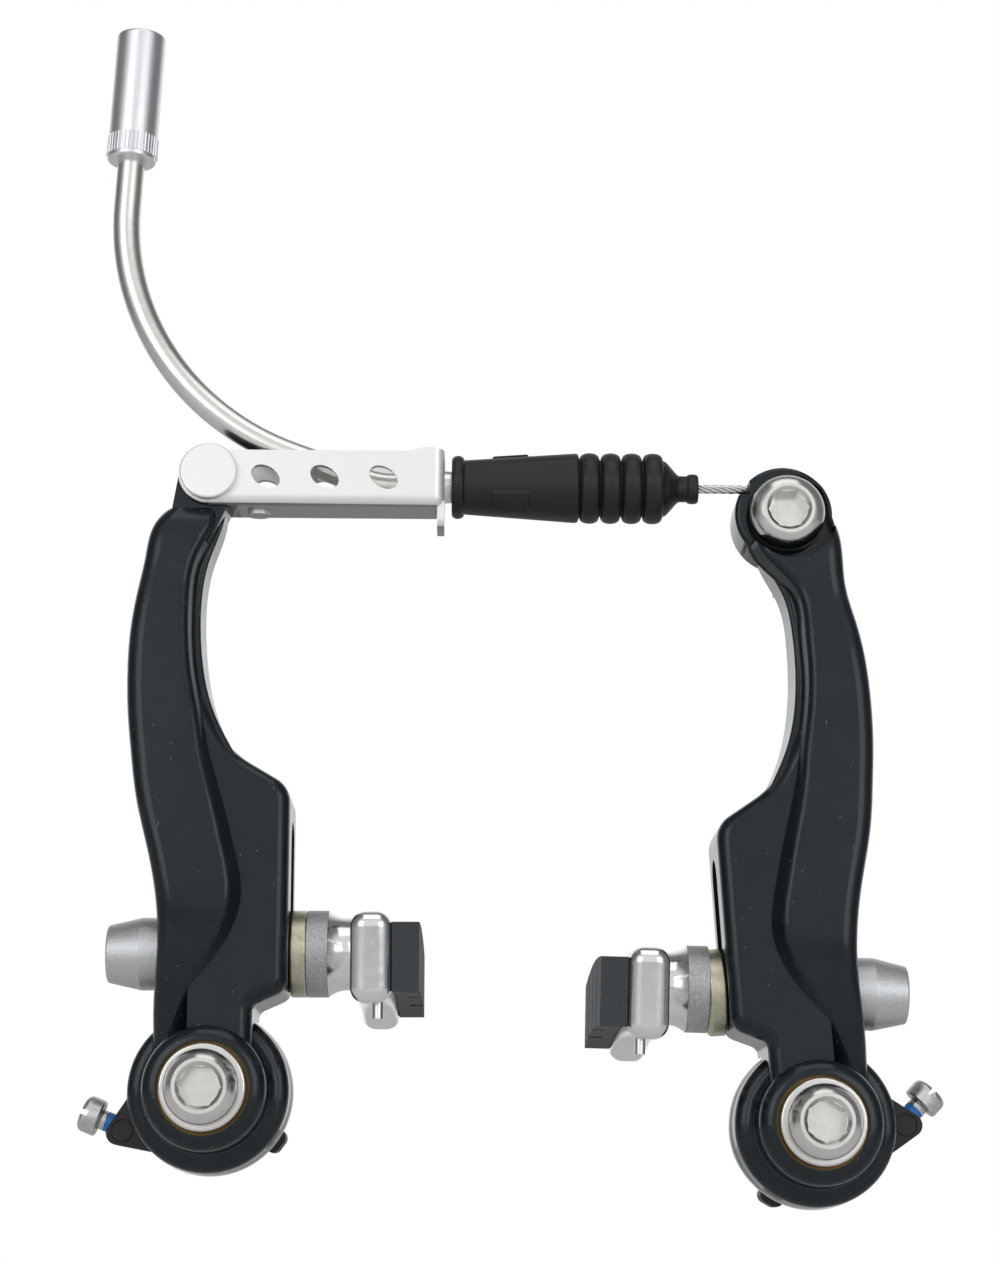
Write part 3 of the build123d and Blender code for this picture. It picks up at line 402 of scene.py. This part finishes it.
plain_from = 0.003
plain_to = 0.0205
outside_radius = 0.004
parting_at = 26.0
parting_half = 3.0
parting_rise = 0.00014
lugs_at = (-42.0, 100.0)
lug_half_turn = 19.0
lug_middle = 0.0099
lug_half_length = 0.0032
lug_rise = 0.00045
lug_share = 0.65
lug_steepness = 9.0
lip_share = 0.35
lip_inset = 0.13
lip_half = 0.1
boot_up = (Vector((0, 0, 1)) - wire_way * wire_way.z).normalized()
boot_front = wire_way.cross(boot_up)
if boot_front.y > 0:
    boot_front = -boot_front
for corner in boot_shape.data.vertices:
    off = corner.co - boot_start
    along = off.dot(wire_way)
    out = off - wire_way * along
    if not plain_from < along < plain_to or out.length < outside_radius:
        continue
    degrees = math.degrees(math.atan2(out.dot(boot_up), out.dot(boot_front)))
    parting = max(0.0, 1.0 - abs(degrees - parting_at) / parting_half)
    corner.co += out.normalized() * parting_rise * parting
    for lug_at in lugs_at:
        from_middle = abs((degrees - lug_at + 180) % 360 - 180) / lug_half_turn
        from_length = abs(along - lug_middle) / lug_half_length
        inside = 1.0 - max(from_middle, from_length)
        lug = lug_share * max(0.0, min(1.0, lug_steepness * inside))
        lip = lip_share * max(0.0, 1.0 - abs(inside - lip_inset) / lip_half)
        corner.co += out.normalized() * lug_rise * (lug + lip)
boot_shape.data.materials.append(boot_rubber)
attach(boot_shape, "noodle")
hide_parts("boot")
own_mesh(boot_shape)

# Wire and anchor: six steel strands twisted to a wire, which leaves the boot and is clamped on the
# right arm's head. A zinc-plated washer and a domed socket bolt hold it, and its tail ends
# behind the head.
strand_steel = coated("strand_steel", (0.62, 0.62, 0.61), 0.3, metal=1.0, grain=3000, vary=0.1)
dress(strand_steel, "wire_in_noodle", "wire_tail")
dress(bright_zinc, "anchor_bolt", "anchor_washer")


def strand_line(name, start, way, length, lay, strand_count):
    """Twist strands round a straight line, one full turn in each lay, as one mesh."""
    strand_radius = 0.000255
    ring_radius = 0.00049
    strand_corners = 8
    step_length = 0.0003
    way = Vector(way).normalized()
    side_a = way.orthogonal().normalized()
    side_b = way.cross(side_a)
    steps = round(length / step_length)
    shape = bmesh.new()
    for strand in range(strand_count):
        rings = []
        for step in range(steps + 1):
            along = length * step / steps
            twist = 2 * math.pi * (along / lay + strand / strand_count)
            out = side_a * math.cos(twist) + side_b * math.sin(twist)
            round_way = way.cross(out)
            ring = []
            for corner in range(strand_corners):
                angle = 2 * math.pi * corner / strand_corners
                spot = start + way * along + out * (ring_radius + strand_radius * math.cos(angle))
                ring.append(shape.verts.new(spot + round_way * strand_radius * math.sin(angle)))
            rings.append(ring)
        skin_rings(shape, rings)
    return mesh_piece(name, shape)


wire_strands = 6
wire_lay = 0.0085
hidden_in_boot = 0.0215
clamp_spot = Vector(joint_at["wire_pivot"]["pos_m"])
shown_length = (clamp_spot - boot_start).dot(wire_way) - hidden_in_boot
twisted_wire = strand_line("twisted_wire", clamp_spot, -wire_way, shown_length, wire_lay, wire_strands)
twisted_wire.data.materials.append(strand_steel)
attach(twisted_wire, "wire")
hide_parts("brake_wire")

# Studio: a plain pale floor well below the part, and a surround that is bright in front, dim at the
# sides and white behind; the camera sees it white all round. Two soft lamps stand in front, left
# and right, and one hangs above.
floor_finish = coated("studio_floor", (0.86, 0.86, 0.86), 0.7, grain=4, vary=0.02)
floor_size = 6
floor_level = -0.09
bpy.ops.mesh.primitive_plane_add(size=floor_size, location=(0, 0, floor_level))
studio_floor = bpy.context.object
studio_floor.name = "studio_floor"
studio_floor.data.materials.append(floor_finish)

surround = bpy.data.worlds.new("surround")
bpy.context.scene.world = surround
surround.use_nodes = True
sky = surround.node_tree
sky_light = sky.nodes["Background"]
sky_where = sky.nodes.new("ShaderNodeTexCoord")
sky_axes = sky.nodes.new("ShaderNodeSeparateXYZ")
sky.links.new(sky_where.outputs["Generated"], sky_axes.inputs["Vector"])
sky_depth = sky.nodes.new("ShaderNodeMapRange")
sky_depth.inputs["From Min"].default_value = -1.0
sky.links.new(sky_axes.outputs["Y"], sky_depth.inputs["Value"])
sky_ramp = sky.nodes.new("ShaderNodeValToRGB")
front_to_back = [(0.0, 0.85), (0.2, 0.75), (0.38, 0.18), (0.7, 0.18), (0.9, 1.0)]
while len(sky_ramp.color_ramp.elements) < len(front_to_back):
    sky_ramp.color_ramp.elements.new(0.5)
for stop, (depth, level) in zip(sky_ramp.color_ramp.elements, front_to_back):
    stop.position = depth
    stop.color = (level, level, level, 1)
sky.links.new(sky_depth.outputs["Result"], sky_ramp.inputs["Fac"])
sky_ray = sky.nodes.new("ShaderNodeLightPath")


def sky_math(kind, first, second):
    """Product or larger of two values in the surround."""
    joined = sky.nodes.new("ShaderNodeMath")
    joined.operation = kind
    sky.links.new(first, joined.inputs[0])
    sky.links.new(second, joined.inputs[1])
    return joined.outputs["Value"]


behind_from = 0.6
sky_behind = sky.nodes.new("ShaderNodeMapRange")
sky_behind.inputs["From Min"].default_value = behind_from
sky.links.new(sky_axes.outputs["Y"], sky_behind.inputs["Value"])
seen_behind = sky_math("MULTIPLY", sky_ray.outputs["Is Glossy Ray"], sky_behind.outputs["Result"])
seen_direct = sky_math("MAXIMUM", sky_ray.outputs["Is Camera Ray"], sky_ray.outputs["Is Transmission Ray"])
seen_white = sky_math("MAXIMUM", seen_direct, seen_behind)
sky_strength = sky_math("MAXIMUM", sky_ramp.outputs["Color"], seen_white)
sky_light.inputs["Color"].default_value = (1, 1, 1, 1)
sky.links.new(sky_strength, sky_light.inputs["Strength"])


def softbox(name, place, aim, size, power):
    """Square soft lamp at place, turned to aim."""
    lamp = bpy.data.lights.new(name, "AREA")
    lamp.size = size
    lamp.energy = power
    box = bpy.data.objects.new(name, lamp)
    bpy.context.scene.collection.objects.link(box)
    box.location = place
    box.rotation_euler = (Vector(aim) - Vector(place)).to_track_quat("-Z", "Y").to_euler()


softbox("lamp_left", (-0.45, -0.75, 0.25), (0, 0, 0.06), size=0.5, power=1.1)
softbox("lamp_right", (0.45, -0.75, 0.25), (0, 0, 0.06), size=0.5, power=1.1)
softbox("lamp_top", (0, -0.25, 0.85), (0, 0, 0.08), size=0.6, power=1.2)

# Camera: low in front of the brake, tipped up at it and slightly rolled, as photographed. Its
# distance puts the pivot bolts at their size in the picture, and its place puts the middle
# between them where the picture has it.
pitch = math.radians(13.0)
roll = math.radians(3.2)
sensor_width_mm = 36.0
focal_px = 2645.0
hub_px_per_m = 6450.0
picture_width_px = 1000.0
picture_middle_px = (500.0, 630.5)
bolts_middle_px = (513.3, 1103.5)
bolts_middle = Vector((0, -0.026, 0))
ahead = Vector((0, math.cos(pitch), math.sin(pitch)))
level_up = Vector((0, -math.sin(pitch), math.cos(pitch)))
level_right = Vector((1, 0, 0))
right = level_right * math.cos(roll) + level_up * math.sin(roll)
up = level_up * math.cos(roll) - level_right * math.sin(roll)
off_right = (bolts_middle_px[0] - picture_middle_px[0]) / hub_px_per_m
off_up = -(bolts_middle_px[1] - picture_middle_px[1]) / hub_px_per_m
place = bolts_middle - ahead * (focal_px / hub_px_per_m) - right * off_right - up * off_up
view = bpy.data.cameras.new("photo_view")
view.sensor_fit = "HORIZONTAL"
view.sensor_width = sensor_width_mm
view.lens = sensor_width_mm * focal_px / picture_width_px
view.clip_start = 0.01
view_camera = bpy.data.objects.new("photo_view", view)
bpy.context.scene.collection.objects.link(view_camera)
view_camera.matrix_world = Matrix(
    (
        (right.x, up.x, -ahead.x, place.x),
        (right.y, up.y, -ahead.y, place.y),
        (right.z, up.z, -ahead.z, place.z),
        (0, 0, 0, 1),
    )
)
bpy.context.scene.camera = view_camera
bpy.context.scene.view_settings.view_transform = "Standard"
